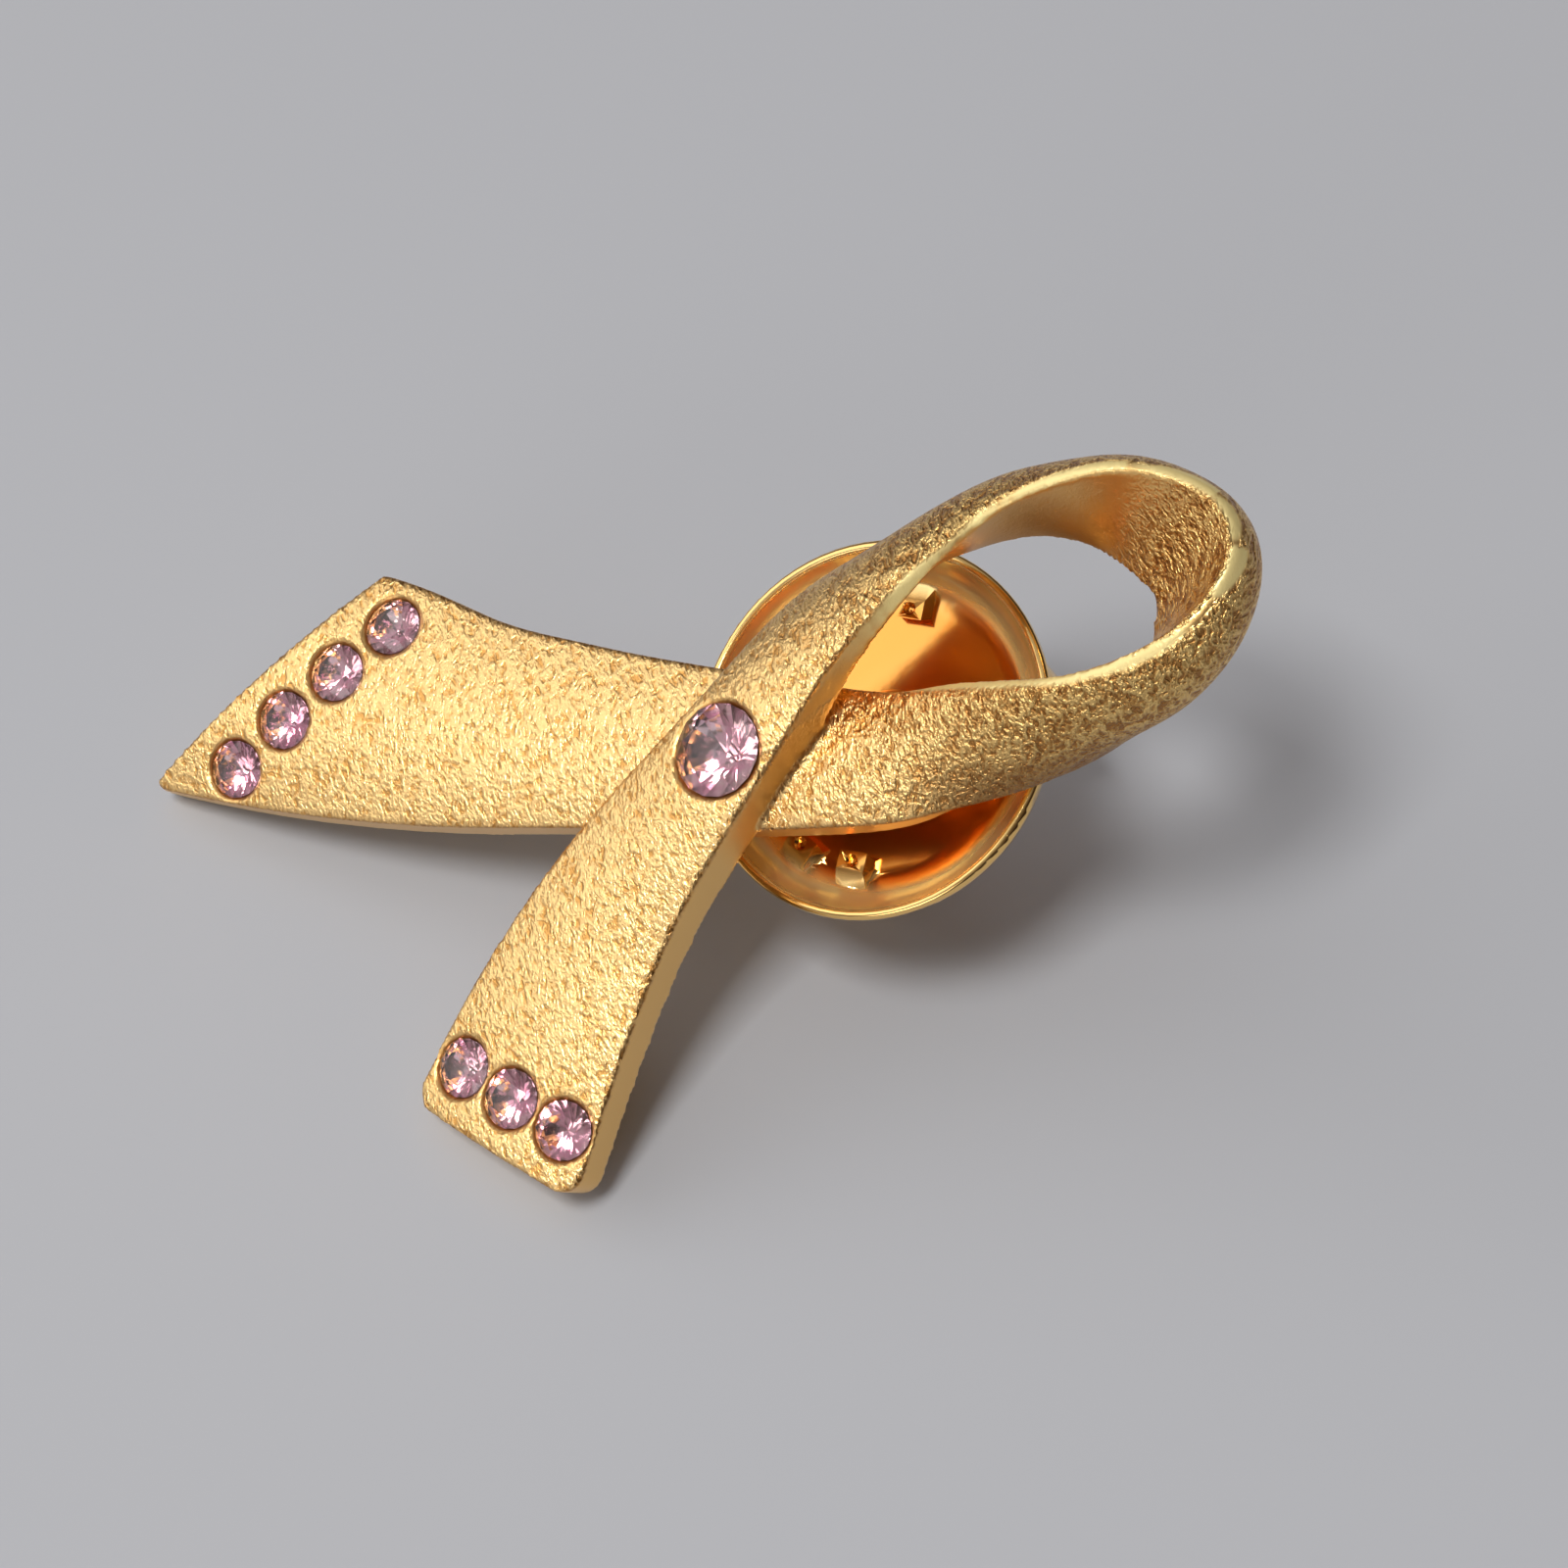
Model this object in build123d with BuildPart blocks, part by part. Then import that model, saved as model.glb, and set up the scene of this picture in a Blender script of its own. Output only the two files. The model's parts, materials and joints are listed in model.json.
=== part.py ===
"""Awareness ribbon pin: a cast ribbon with eight set stones, a soldered post and a dished clutch.

The pin is drawn in its own frame: X across the ribbon, Y along its loop and Z out of its face, with the
post on the Z axis and the clutch's rim at Z = 0. It is then seated on the three points that it rests on.
"""
from build123d import *
from collections import namedtuple
from math import atan2, cos, radians, sin, sqrt
import os

os.makedirs("parts", exist_ok=True)

# Clutch
clutch_diameter = 11.5
wing_turn = -68.0
rim_roll = 0.16
dish_depth = 1.35
dish_curve = 1.45
plate_sheet = 0.4
boss_diameter = 2.0
boss_rise = 0.6
boss_slope = 0.45
nub_width = 1.1
nub_top_width = 0.9
nub_top_depth = 0.6
nub_lean = 0.4
nub_rise = 0.5
nub_root = 0.02
dimple_diameter = 0.4
dimple_floor_diameter = 0.15
dimple_depth = 0.15
spring_sheet = 0.4
spring_width = 3.2
spring_fold = 0.4
spring_fold_reach = 3.1
jaw_bend = 0.5
wing_reach = 3.7
wing_drop = 7.4
piece_gap = 0.05

# Post and the pad that it is soldered by
post_diameter = 1.2
post_end = 7.2
post_point = 0.6
post_tip_diameter = 0.3
post_clearance = 0.05
pad_diameter = 1.8
pad_bottom = 0.55
pad_bury = 0.6

# Ribbon
loop_length = 13.6
loop_width = 9.0
rim_lift = 4.3
loop_band = 4.2
front_tail_length = 14.3
front_tail_reach = 8.6
front_tail_width = 6.4
left_tail_length = 18.3
left_tail_reach = 8.45
left_tail_width = 7.0
wall = 1.5
tail_corner_radius = 0.7
left_end_swell = 0.4

# The left tail's tip comes this far under its last section's corner
tip_lift = 0.13

# Stones and their seats
centre_stone_diameter = 2.8
tail_stone_diameter = 1.8
centre_stone_across = 0.2
centre_stone_along = -3.35
centre_stone_lift = 0.84
stone_clearance = 0.06
stone_sink = 0.08
front_stone_setback = 1.7
front_stone_pitch = 2.0
front_stone_shift = -0.1
left_stone_setback = 1.75
left_stone_pitch = 2.32
left_stone_shift = 1.1
table_share = 0.56
crown_angle = 33.0
pavilion_angle = 40.0
girdle_share = 0.04
main_facets = 8

Nub = namedtuple("Nub", "turn setback")

# The four bite nubs in the clutch's dish: the way to each from the post, and how far in from the rim it is
NUBS = [Nub(-57, 1.25), Nub(-31, 1.45), Nub(150, 1.5), Nub(176, 1.4)]

Row = namedtuple("Row", "along across lift width twist skew rim side crown")

# Sections from the front tail's end up to the neck. Along is a share of the tail's length, across of its
# reach, lift of rim_lift, width of the tail's width, and rim, side and crown of the wall.
FRONT_TAIL = [
    Row(-1.00, 1.00, 0.51, 1.00, 90, 4, 0.87, 0.87, 0.20),
    Row(-0.80, 0.66, 0.60, 0.89, 90, 0, 0.90, 0.90, 0.20),
    Row(-0.55, 0.32, 0.70, 0.72, 89, 0, 0.95, 0.95, 0.20),
    Row(-0.21, -0.01, 0.84, 0.54, 84, 0, 1.00, 1.00, 0.20),
]

# Sections round the loop, as shares of the loop's length, width and band.
LOOP = [
    Row(0.04, -0.25, 0.84, 0.75, 68, 0, 0.60, 0.90, 0.22),
    Row(0.25, -0.37, 0.72, 0.81, 44, 0, 0.30, 0.80, 0.42),
    Row(0.48, -0.43, 0.62, 0.82, 22, 0, 0.20, 0.80, 0.50),
    Row(0.66, -0.36, 0.60, 0.90, -3, -5, 0.20, 0.70, 0.62),
    Row(0.80, -0.22, 0.60, 0.96, -32, -14, 0.20, 0.60, 0.80),
    Row(0.89, 0.00, 0.61, 1.00, -45, 0, 0.20, 0.60, 0.90),
    Row(0.84, 0.18, 0.60, 0.96, -32, 22, 0.20, 0.60, 0.90),
    Row(0.71, 0.30, 0.58, 0.90, -5, 10, 0.20, 0.70, 0.80),
    Row(0.54, 0.34, 0.56, 0.84, 22, 0, 0.20, 0.80, 0.50),
    Row(0.36, 0.31, 0.55, 0.82, 48, 0, 0.30, 0.85, 0.38),
    Row(0.19, 0.25, 0.54, 0.85, 72, 0, 0.60, 0.87, 0.25),
]

# Sections from under the crossing down to the left tail's slanted end.
LEFT_TAIL = [
    Row(0.02, -0.19, 0.53, 0.57, 88, 0, 0.87, 0.87, 0.20),
    Row(-0.25, 0.08, 0.51, 0.71, 90, 0, 0.87, 0.87, 0.20),
    Row(-0.46, 0.31, 0.49, 0.81, 90, 3, 0.87, 0.87, 0.22),
    Row(-0.69, 0.57, 0.47, 1.00, 90, 14, 0.87, 0.87, 0.28),
    Row(-1.00, 1.00, 0.43, 1.47, 90, 38, 0.87, 0.87, 0.40),
]

Station = namedtuple("Station", "centre width twist skew rim side crown")


def stations(table, length, reach, width):
    """The sections of one table at their real sizes, in the pin's frame."""
    return [
        Station(
            Vector(row.across * reach, row.along * length, row.lift * rim_lift),
            row.width * width, row.twist, row.skew, row.rim * wall, row.side * wall, row.crown * wall,
        )
        for row in table
    ]


KEYS = (
    stations(FRONT_TAIL, front_tail_length, front_tail_reach, front_tail_width)
    + stations(LOOP, loop_length, loop_width, loop_band)
    + stations(LEFT_TAIL, left_tail_length, -left_tail_reach, left_tail_width)
)
STEPS = 4


def eased(before, start, end, after, share):
    """A value on the smooth curve through four neighbours, a share of the way from start to end."""
    return (
        start * 2
        + (end - before) * share
        + (before * 2 - start * 5 + end * 4 - after) * share**2
        + (start * 3 - before - end * 3 + after) * share**3
    ) * 0.5


def between(index, share):
    """The section that lies a share of the way from one key section to the next."""
    four = [KEYS[min(max(index + step, 0), len(KEYS) - 1)] for step in (-1, 0, 1, 2)]
    return Station(*[eased(*values, share) for values in zip(*four)])


BAND = [between(index, step / STEPS) for index in range(len(KEYS) - 1) for step in range(STEPS)] + [KEYS[-1]]
under_crossing = (len(FRONT_TAIL) + len(LOOP)) * STEPS
FACE = Vector(0, 0, 1)


def directions(index):
    """The way along the band, across it to its near edge and out of its face, at one section."""
    before = BAND[max(index - 1, 0)].centre
    after = BAND[min(index + 1, len(BAND) - 1)].centre
    along = (after - before).normalized()
    outward = FACE.cross(along).normalized()
    upward = along.cross(outward)
    twist = radians(BAND[index].twist)
    skew = radians(BAND[index].skew)
    across = upward * cos(twist) - outward * sin(twist)
    face = outward * cos(twist) + upward * sin(twist)
    return along, across * cos(skew) - along * sin(skew), face


def corners(index):
    """The five points that bound one section, in the pin's frame: rim, back corners, far edge and crown."""
    station = BAND[index]
    along, across, face = directions(index)
    near = station.centre + across * (station.width / 2)
    far = station.centre - across * (station.width / 2)
    return [near, near - face * station.rim, far - face * station.side, far, station.centre + face * station.crown]


# Rest: the left tail's tip, the front tail's end and one wing of the clutch stand on the surface
wing_way = Vector(cos(radians(wing_turn)), sin(radians(wing_turn)), 0)
wing_side = FACE.cross(wing_way)
hole_radius = post_diameter / 2 + post_clearance
dish_floor = -dish_depth
plate_bottom = dish_floor - plate_sheet
strip_bottom = plate_bottom - piece_gap - spring_sheet
fold_bottom = strip_bottom - 2 * spring_fold
jaw_bottom = fold_bottom - 2 * jaw_bend
wing_bend = 2 * atan2(wing_drop + jaw_bottom, wing_reach - hole_radius - jaw_bend)
wing_end_reach = wing_reach + spring_sheet * sin(wing_bend)
wing_end_drop = wing_drop - spring_sheet * cos(wing_bend)
wing_corner = wing_way * wing_end_reach + wing_side * (spring_width / 2) - FACE * wing_end_drop
left_along = directions(len(BAND) - 1)[0]
left_tip = corners(len(BAND) - 1)[2] - left_along * (left_end_swell / cos(radians(BAND[-1].skew)))
front_along, front_across, front_face = directions(0)
front_tip = corners(0)[2] + (front_along + front_across) * (tail_corner_radius * (1 - sqrt(0.5)))
surface_normal = (front_tip - wing_corner).cross(left_tip - wing_corner).normalized()
surface_normal = surface_normal * (1 if surface_normal.Z > 0 else -1)
lengthwise = Vector(0, 1, 0) - surface_normal * surface_normal.Y
surface = Plane(origin=wing_corner, x_dir=lengthwise.normalized(), z_dir=surface_normal)
outline = [surface.to_local_coords(point) for index in range(len(BAND)) for point in corners(index)]
middle = Vector(
    (min(p.X for p in outline) + max(p.X for p in outline)) / 2,
    (min(p.Y for p in outline) + max(p.Y for p in outline)) / 2,
    -tip_lift,
)


def seated(point):
    """A point of the pin's frame where it lies at rest."""
    return surface.to_local_coords(Vector(*point)) - middle


def turned(direction):
    """A direction of the pin's frame as it points at rest."""
    return seated(direction) - seated((0, 0, 0))


def pin_plane(origin, x_dir, z_dir):
    return Plane(origin=seated(origin), x_dir=turned(x_dir), z_dir=turned(z_dir))


def band_section(index):
    """One section of the band: flat back, thin rim, far edge and a domed face."""
    station = BAND[index]
    along, across, face = directions(index)
    normal = across.cross(face)
    half = station.width / 2
    with BuildSketch(pin_plane(station.centre, across, normal)) as section:
        with BuildLine():
            Polyline((half, 0), (half, -station.rim), (-half, -station.side), (-half, 0))
            ThreePointArc((-half, 0), (0, station.crown), (half, 0))
        make_face()
    return section


def end_cutter(index):
    """A block whose curved side passes the middle of a tail's end and falls back beyond its corners."""
    along, across, face = directions(index)
    inward = across.cross(face)
    centre = BAND[index].centre
    beside = across * BAND[index].width
    fallen = inward * (4 * left_end_swell)
    arc = [centre + beside + fallen, centre, centre - beside + fallen]
    outer = [arc[2] - inward * left_tail_width, arc[0] - inward * left_tail_width]
    with BuildPart(pin_plane((0, 0, 2 * rim_lift), (1, 0, 0), (0, 0, 1))) as cutter:
        with BuildSketch():
            with BuildLine():
                ThreePointArc(*[(point.X, point.Y) for point in arc])
                Polyline(*[(point.X, point.Y) for point in (arc[2], *outer, arc[0])])
            make_face()
        extrude(amount=-4 * rim_lift)
    return cutter.part


def band():
    """The ribbon's band, lofted in two runs that meet just before the crossing, with its ends shaped."""
    meeting = under_crossing - STEPS // 2
    with BuildPart() as part:
        for first, last in ((0, meeting), (meeting, len(BAND) - 1)):
            loft(sections=[band_section(index).sketch.face() for index in range(first, last + 1)])
        near_face, near_back, far_back, far_face = corners(0)[:4]
        for corner in ((near_face + near_back) / 2, (far_face + far_back) / 2):
            fillet(part.edges().sort_by_distance(seated(corner))[0], radius=tail_corner_radius)
        add(end_cutter(len(BAND) - 1), mode=Mode.SUBTRACT)
    return part.part


def beyond(index, place):
    """How far one place of the pin's frame lies before the plane of one section."""
    along, across, face = directions(index)
    return (place - BAND[index].centre).dot(across.cross(face))


def touch(index, place):
    """The point of one section's domed face that lies beside one place, and the way out of it."""
    station = BAND[index]
    along, across, face = directions(index)
    offset = (place - station.centre).dot(across)
    dome_radius = (station.width**2 / 4 + station.crown**2) / (2 * station.crown)
    way_out = across * offset + face * sqrt(dome_radius**2 - offset**2)
    return station.centre - face * (dome_radius - station.crown) + way_out, way_out.normalized()


def face_plane(place, run):
    """The plane that touches the domed face beside one place, on one run of sections."""
    index = min(run, key=lambda at: abs(beyond(at, place) + beyond(at + 1, place)))
    share = beyond(index, place) / (beyond(index, place) - beyond(index + 1, place))
    first, first_out = touch(index, place)
    second, second_out = touch(index + 1, place)
    point = first + (second - first) * share
    way_out = first_out + (second_out - first_out) * share
    slope = (second - first).normalized()
    level = way_out - slope * way_out.dot(slope)
    return Plane(origin=seated(point), x_dir=turned((1, 0, 0)), z_dir=turned(level.normalized()))


def end_row(index, count, pitch, shift, setback):
    """Places for a row of stones along a tail's end, from its near edge to its far one."""
    along, across, face = directions(index)
    inward = across.cross(face) * (1 if index else -1)
    start = BAND[index].centre + inward * setback + across * (shift + pitch * (count - 1) / 2)
    return [start - across * (pitch * step) for step in range(count)]


front_run = range(len(FRONT_TAIL) * STEPS)
left_run = range(under_crossing, len(BAND) - 1)
front_places = end_row(0, 3, front_stone_pitch, front_stone_shift, front_stone_setback)
left_places = end_row(len(BAND) - 1, 4, left_stone_pitch, left_stone_shift, left_stone_setback)
centre_place = Vector(centre_stone_across, centre_stone_along, centre_stone_lift * rim_lift)

STONES = [("centre_stone", centre_stone_diameter, face_plane(centre_place, front_run))]
for number, place in enumerate(front_places, start=1):
    STONES.append((f"front_tail_stone_{number}", tail_stone_diameter, face_plane(place, front_run)))
for number, place in enumerate(left_places, start=1):
    STONES.append((f"left_tail_stone_{number}", tail_stone_diameter, face_plane(place, left_run)))


def tangent(angle):
    return sin(radians(angle)) / cos(radians(angle))


def stone_heights(diameter):
    """Heights of a stone's table, girdle top, girdle bottom and culet over the metal's face."""
    top = -stone_sink
    bottom = top - girdle_share * diameter
    table = top + (1 - table_share) * diameter / 2 * tangent(crown_angle)
    culet = bottom - diameter / 2 * tangent(pavilion_angle)
    return table, top, bottom, culet


with BuildPart() as ribbon:
    add(band())
    with BuildSketch(pin_plane((0, 0, pad_bottom), (1, 0, 0), (0, 0, 1))):
        Circle(pad_diameter / 2)
    extrude(amount=pad_bury)
    with BuildSketch(pin_plane((0, 0, pad_bottom), (1, 0, 0), (0, 0, 1))):
        Circle(post_diameter / 2)
    extrude(amount=-(post_end + pad_bottom - post_point))
    with BuildSketch(pin_plane((0, 0, post_point - post_end), (1, 0, 0), (0, 0, 1))):
        Circle(post_diameter / 2)
    with BuildSketch(pin_plane((0, 0, -post_end), (1, 0, 0), (0, 0, 1))):
        Circle(post_tip_diameter / 2)
    loft(ruled=True)
    for name, diameter, seat in STONES:
        table, top, bottom, culet = stone_heights(diameter)
        with BuildSketch(seat.offset(bottom)):
            Circle(diameter / 2 + stone_clearance)
        extrude(amount=table - bottom + wall, mode=Mode.SUBTRACT)
        with BuildSketch(seat.offset(bottom)):
            Circle(diameter / 2 + stone_clearance)
        with BuildSketch(seat.offset(culet - stone_clearance)):
            Circle(stone_clearance)
        loft(ruled=True, mode=Mode.SUBTRACT)

ribbon.part.label = "ribbon"
export_step(ribbon.part, "parts/ribbon.step")


def facet(seat, turn, angle, radius, height):
    """The plane of one main facet: its corners meet the given radius at the given height."""
    way = Vector(cos(radians(turn)), sin(radians(turn)), 0)
    normal = way * sin(radians(angle)) + Vector(0, 0, cos(radians(angle)))
    point = way * (radius * cos(radians(180 / main_facets))) + Vector(0, 0, height)
    origin = seat.from_local_coords(point)
    return Plane(origin=origin, z_dir=seat.from_local_coords(normal) - seat.origin)


def cut_stone(diameter, seat):
    """A round stone: a table, crown facets, a girdle and pavilion facets."""
    table, top, bottom, culet = stone_heights(diameter)
    radius = diameter / 2
    with BuildPart() as stone:
        with BuildSketch(seat.offset(culet)):
            RegularPolygon(radius, 2 * main_facets)
        extrude(amount=table - culet)
        for step in range(main_facets):
            turn = 360 / main_facets * step
            split(bisect_by=facet(seat, turn, crown_angle, radius, top), keep=Keep.BOTTOM)
            split(bisect_by=facet(seat, turn, 180 - pavilion_angle, radius, bottom), keep=Keep.BOTTOM)
    return stone.part


for name, diameter, seat in STONES:
    stone = cut_stone(diameter, seat)
    stone.label = name
    export_step(stone, f"parts/{name}.step")

rim_radius = clutch_diameter / 2
floor_radius = rim_radius - 2 * rim_roll - dish_curve

with BuildPart() as clutch_plate:
    with BuildSketch(pin_plane((0, 0, 0), (1, 0, 0), (0, -1, 0))):
        with BuildLine():
            boss_top = dish_floor + boss_rise
            Polyline(
                (floor_radius, plate_bottom),
                (hole_radius, plate_bottom),
                (hole_radius, boss_top),
                (boss_diameter / 2, boss_top),
                (boss_diameter / 2 + boss_slope, dish_floor),
                (floor_radius, dish_floor),
            )
            wall_top = (rim_radius - 2 * rim_roll, -rim_roll)
            TangentArc((floor_radius, dish_floor), wall_top, tangent=(1, 0))
            ThreePointArc(wall_top, (rim_radius - rim_roll, 0), (rim_radius, -rim_roll))
            TangentArc((floor_radius, plate_bottom), (rim_radius, -rim_roll), tangent=(1, 0))
        make_face()
    revolve(axis=Axis(seated((0, 0, 0)), turned((0, 0, 1))))
    for nub in NUBS:
        outward = Vector(cos(radians(nub.turn)), sin(radians(nub.turn)), 0)
        root = outward * (rim_radius - nub.setback) + FACE * (dish_floor - nub_root)
        top = outward * (rim_radius - nub.setback - nub_lean) + FACE * (dish_floor + nub_rise)
        with BuildSketch(pin_plane(root, outward, FACE)):
            Rectangle(nub_width, nub_width)
        with BuildSketch(pin_plane(top, outward, FACE)):
            Rectangle(nub_top_depth, nub_top_width)
        loft(ruled=True)
        with BuildSketch(pin_plane(top, outward, FACE)):
            Circle(dimple_diameter / 2)
        with BuildSketch(pin_plane(top - FACE * dimple_depth, outward, FACE)):
            Circle(dimple_floor_diameter / 2)
        loft(ruled=True, mode=Mode.SUBTRACT)

clutch_plate.part.label = "clutch_plate"
export_step(clutch_plate.part, "parts/clutch_plate.step")

with BuildPart() as clutch_spring:
    with BuildSketch(pin_plane(wing_side * (spring_width / 2), wing_way, -wing_side)):
        with BuildLine() as strip:
            Line((0, strip_bottom), (spring_fold_reach, strip_bottom))
            TangentArc((spring_fold_reach, strip_bottom), (spring_fold_reach, fold_bottom), tangent=(1, 0))
            Line((spring_fold_reach, fold_bottom), (hole_radius + jaw_bend, fold_bottom))
            jaw_end = (hole_radius + jaw_bend, jaw_bottom)
            TangentArc((hole_radius + jaw_bend, fold_bottom), jaw_end, tangent=(-1, 0))
            TangentArc(jaw_end, (wing_reach, -wing_drop), tangent=(1, 0))
            offset(amount=spring_sheet, side=Side.LEFT)
        make_face()
        mirror(about=Plane.YZ)
    extrude(amount=spring_width)
    with BuildSketch(pin_plane((0, 0, strip_bottom), (1, 0, 0), FACE)):
        Circle(hole_radius)
    extrude(amount=spring_sheet, mode=Mode.SUBTRACT)

clutch_spring.part.label = "clutch_spring"
export_step(clutch_spring.part, "parts/clutch_spring.step")
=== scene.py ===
# %% [markdown]
# # An awareness ribbon pin
# The real pin is a cast metal ribbon, plated in matte gold, with eight pink stones set in its face. A post
# is soldered to its back, and a polished butterfly clutch holds it on cloth. Its exact solids come from the
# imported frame. This lesson gives them their finish: a wrinkled matte gold, a mirror-bright clutch, cut
# stones that flash, and the soft light of a small studio.

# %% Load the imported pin
import json
from math import cos, pi, radians, sin, tan

import bpy
import numpy as np
from mathutils import Matrix, Vector


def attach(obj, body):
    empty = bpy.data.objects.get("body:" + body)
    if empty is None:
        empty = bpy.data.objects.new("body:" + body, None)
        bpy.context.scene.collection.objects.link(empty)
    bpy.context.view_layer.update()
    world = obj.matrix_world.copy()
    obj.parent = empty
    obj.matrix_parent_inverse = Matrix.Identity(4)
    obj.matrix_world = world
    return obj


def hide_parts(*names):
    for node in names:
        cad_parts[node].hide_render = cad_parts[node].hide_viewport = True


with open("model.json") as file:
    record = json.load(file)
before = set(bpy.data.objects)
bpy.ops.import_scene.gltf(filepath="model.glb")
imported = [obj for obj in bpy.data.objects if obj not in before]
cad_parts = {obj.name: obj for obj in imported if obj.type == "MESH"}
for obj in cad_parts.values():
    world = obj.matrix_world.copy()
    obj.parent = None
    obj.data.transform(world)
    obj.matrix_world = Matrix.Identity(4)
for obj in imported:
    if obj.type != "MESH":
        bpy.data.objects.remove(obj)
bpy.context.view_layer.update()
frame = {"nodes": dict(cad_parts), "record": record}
bpy.context.scene.view_settings.view_transform = "Standard"
MM = 0.001
print("nodes:", ", ".join(frame["nodes"]))

# %% [markdown]
# The pin lies tilted, because its clutch lifts one end. Everything on it is easier to place in the pin's own
# frame: X across the ribbon, Y along its loop and Z straight out of its face, with the post on the Z axis
# and the rim of the clutch at zero. The record of the post gives that frame exactly.

# %% Find the pin's own frame
post = next(mount for mount in frame["record"]["mounts"] if mount["name"] == "post")
POST_REACH = 7.2 * MM
FACE = -Vector(post["axis"]).normalized()
ALONG = Vector((FACE.z, 0, -FACE.x)).normalized()
ACROSS = ALONG.cross(FACE)
PIN = Matrix((ACROSS, ALONG, FACE)).transposed().to_4x4()
PIN.translation = Vector(post["pos_m"]) + FACE * POST_REACH


def on_pin(x, y, z):
    """A point given in millimetres of the pin's own frame, where it lies at rest."""
    return PIN @ (Vector((x, y, z)) * MM)


print("the pin's face leans", round(np.degrees(FACE.angle((0, 0, 1))), 1), "degrees")

# %% [markdown]
# The camera comes first, so that every later step can be looked at from the photograph's own angle. It is
# placed in the pin's frame too: where it stands, what it looks along, and how it is turned.

# %% Place the camera
LENS = 101.25
SENSOR_WIDTH = 36
CAMERA_PLACE = (42.4, 42.9, 115.8)
CAMERA_RIGHT = (0.249, 0.866, -0.434)
CAMERA_BACK = (0.318, 0.350, 0.881)

camera_data = bpy.data.cameras.new("camera")
camera_data.lens = LENS
camera_data.sensor_width = SENSOR_WIDTH
camera = bpy.data.objects.new("camera", camera_data)
bpy.context.collection.objects.link(camera)
camera_right = (PIN.to_3x3() @ Vector(CAMERA_RIGHT)).normalized()
camera_back = (PIN.to_3x3() @ Vector(CAMERA_BACK)).normalized()
camera_up = camera_back.cross(camera_right).normalized()
camera_right = camera_up.cross(camera_back)
camera.matrix_world = Matrix((camera_right, camera_up, camera_back)).transposed().to_4x4()
camera.location = on_pin(*CAMERA_PLACE)
bpy.context.scene.camera = camera
print("camera at", [round(value / MM, 1) for value in camera.location], "mm")

# %% [markdown]
# A few small helpers do what comes back at every step: start from a clean selection, copy a solid of the
# frame as a mesh of its own, apply a modifier, and tell how many faces a piece has.


# %% Small helpers for shaping
def start_clean():
    """Leaves edit mode and selects nothing."""
    if bpy.context.mode != "OBJECT":
        bpy.ops.object.mode_set(mode="OBJECT")
    bpy.ops.object.select_all(action="DESELECT")


def make_active(thing):
    """Makes one object the only selected and the active one."""
    start_clean()
    thing.select_set(True)
    bpy.context.view_layer.objects.active = thing


MERGE_WITHIN = 0.002 * MM


def copy_of(node, name):
    """A copy of a node's mesh as an object of its own, with its loose triangles joined."""
    mesh = frame["nodes"][node].data.copy()
    thing = bpy.data.objects.new(name, mesh)
    bpy.context.collection.objects.link(thing)
    make_active(thing)
    bpy.ops.object.mode_set(mode="EDIT")
    bpy.ops.mesh.select_all(action="SELECT")
    bpy.ops.mesh.remove_doubles(threshold=MERGE_WITHIN)
    bpy.ops.object.mode_set(mode="OBJECT")
    return thing


def apply_modifier(thing, kind, **settings):
    """Adds one modifier with its settings and applies it."""
    make_active(thing)
    modifier = thing.modifiers.new(kind.lower(), kind)
    for name, value in settings.items():
        setattr(modifier, name, value)
    bpy.ops.object.modifier_apply(modifier=modifier.name)


def tell(thing):
    """Prints how many faces an object has."""
    print(thing.name, "has", len(thing.data.polygons), "faces")


# %% [markdown]
# ## The ribbon's run
# The wrinkled finish is only on the ribbon's faces. Its side walls, its thin rim and its back are smooth, so
# each point of the metal has to know where it sits on the band. The run of the band is written here as a
# row for each place along it: where its middle is, how wide it is, and how far it has turned. The turn
# is 90 where the face looks up from the pin and 0 where it looks sideways.

# %% Describe the band
RUN = [
    # x, y, z, width, turn
    (8.60, -14.30, 2.19, 6.40, 90),
    (5.68, -11.44, 2.58, 5.70, 90),
    (2.75, -7.87, 3.01, 4.61, 89),
    (-0.09, -3.00, 3.61, 3.46, 84),
    (-2.25, 0.54, 3.61, 3.15, 68),
    (-3.33, 3.40, 3.10, 3.40, 44),
    (-3.87, 6.53, 2.67, 3.44, 22),
    (-3.24, 8.98, 2.58, 3.78, -3),
    (-1.98, 10.88, 2.58, 4.03, -32),
    (0.00, 12.10, 2.62, 4.20, -45),
    (1.62, 11.42, 2.58, 4.03, -32),
    (2.70, 9.66, 2.49, 3.78, -5),
    (3.06, 7.34, 2.41, 3.53, 22),
    (2.79, 4.90, 2.37, 3.44, 48),
    (2.25, 2.58, 2.32, 3.57, 72),
    (1.61, 0.37, 2.28, 3.99, 88),
    (-0.68, -4.58, 2.19, 4.97, 90),
    (-2.62, -8.42, 2.11, 5.67, 90),
    (-4.82, -12.63, 2.02, 7.00, 90),
    (-8.45, -18.30, 1.85, 10.29, 90),
]
SPOTS_BETWEEN = 6


def smooth_run(rows):
    """The rows with more rows eased in between them."""
    rows = np.array(rows, dtype=float)
    spots = np.arange(len(rows))
    fine = np.linspace(0, len(rows) - 1, (len(rows) - 1) * SPOTS_BETWEEN + 1)
    return np.stack([np.interp(fine, spots, rows[:, column]) for column in range(rows.shape[1])], axis=1)


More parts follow.
